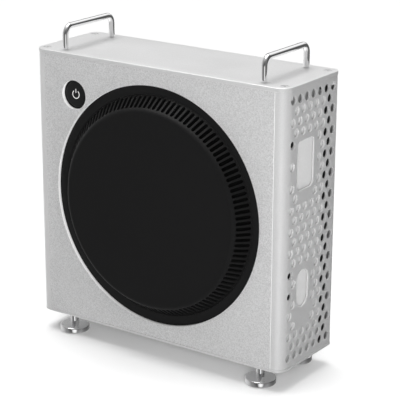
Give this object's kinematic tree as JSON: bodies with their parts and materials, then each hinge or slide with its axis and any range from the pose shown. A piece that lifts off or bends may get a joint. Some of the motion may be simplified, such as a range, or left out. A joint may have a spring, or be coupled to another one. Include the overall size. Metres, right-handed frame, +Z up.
{
  "type": "desktop computer tower",
  "caption": "Slim near-square desktop computer case in blasted aluminium on chrome feet, with a round black front grille, a power button, perforated sides and two top handles.",
  "frame": {"origin": "on the floor, below the middle of the whole object's box", "axes": "+X to the right along the front, +Y from the front grille towards the rear cover, +Z up; the front faces -Y"},
  "size_m": [0.32, 0.1182, 0.3516],
  "materials": {
    "blasted_aluminium": "fine bead-blasted, clear anodised",
    "chrome": "polished",
    "plated_steel": "zinc plated",
    "white_sheet": "satin light grey",
    "black_plastic": "fine satin",
    "dark_plastic": "moulded satin",
    "filter_cloth": "fine woven mesh",
    "black_metal": "powder coated",
    "circuit_board": "solder mask",
    "fin_aluminium": "extruded",
    "cable_sheath": "sleeved"
  },
  "bodies": {
    "case": {"front_panel": "blasted_aluminium", "top_plate": "blasted_aluminium", "bottom_plate": "blasted_aluminium", "right_side_shell": "blasted_aluminium", "left_side_shell": "blasted_aluminium", "right_inner_liner": "white_sheet", "grille_bezel": "black_plastic", "front_grille": "black_plastic", "dust_filter": "filter_cloth", "front_fan_frame": "dark_plastic", "fan_screw_right": "plated_steel", "fan_screw_top": "plated_steel", "fan_screw_left": "plated_steel", "fan_screw_bottom": "plated_steel", "button_housing": "black_plastic", "button_spring": "plated_steel", "button_switch": "dark_plastic", "handle_left": "chrome", "handle_screw_left_front": "plated_steel", "handle_screw_left_rear": "plated_steel", "handle_right": "chrome", "handle_screw_right_front": "plated_steel", "handle_screw_right_rear": "plated_steel", "foot_front_left": "chrome", "foot_front_right": "chrome", "foot_rear_left": "chrome", "foot_rear_right": "chrome", "top_screw_front_left": "plated_steel", "top_screw_front_right": "plated_steel", "top_screw_rear_left": "plated_steel", "top_screw_rear_right": "plated_steel", "motherboard_tray": "black_metal", "motherboard": "circuit_board", "standoff_lower_left": "plated_steel", "standoff_lower_right": "plated_steel", "standoff_upper_left": "plated_steel", "standoff_upper_right": "plated_steel", "cpu_package": "plated_steel", "cpu_heatsink": "fin_aluminium", "cpu_fan_frame": "dark_plastic", "memory_module_1": "black_metal", "memory_module_2": "black_metal", "io_port_block": "dark_plastic", "io_shield": "plated_steel", "psu_housing": "black_metal", "psu_circuit": "circuit_board", "psu_inlet": "dark_plastic", "solid_state_drive": "black_metal", "main_power_cable": "cable_sheath", "button_cable": "cable_sheath"},
    "front_fan": {"front_fan_rotor": "dark_plastic"},
    "cpu_fan": {"cpu_fan_rotor": "dark_plastic"},
    "psu_fan": {"psu_fan_rotor": "dark_plastic"},
    "power_button": {"power_button_cap": "black_plastic"},
    "psu_switch": {"psu_rocker": "dark_plastic"},
    "rear_panel": {"rear_cover": "blasted_aluminium", "rear_cover_screw_upper_left": "plated_steel", "rear_cover_screw_upper_right": "plated_steel", "rear_cover_screw_lower_left": "plated_steel", "rear_cover_screw_lower_right": "plated_steel"}
  },
  "joints": [
    {"name": "power_button_press", "type": "slide", "parent": "case", "child": "power_button", "axis": [0, 1, 0], "range_m": [0, 0.002], "stiffness_N_per_m": 300, "springref_m": -0.002, "deforming": ["button_spring"]},
    {"name": "front_fan_spin", "type": "hinge", "parent": "case", "child": "front_fan", "pos_m": [0, -0.02795, 0.1729], "axis": [0, 1, 0], "continuous": true},
    {"name": "cpu_fan_spin", "type": "hinge", "parent": "case", "child": "cpu_fan", "pos_m": [-0.0803, -0.00705, 0.2355], "axis": [0, 1, 0], "continuous": true},
    {"name": "psu_fan_spin", "type": "hinge", "parent": "case", "child": "psu_fan", "pos_m": [-0.1513, 0.0234, 0.092], "axis": [1, 0, 0], "continuous": true},
    {"name": "psu_switch_rock", "type": "hinge", "parent": "case", "child": "psu_switch", "pos_m": [-0.1558, 0.03515, 0.0515], "axis": [0, 1, 0], "range_deg": [-18, 0]},
    {"name": "rear_cover_off", "type": "slide", "parent": "case", "child": "rear_panel", "axis": [0, 1, 0], "range_m": [0, 0.06]}
  ]
}
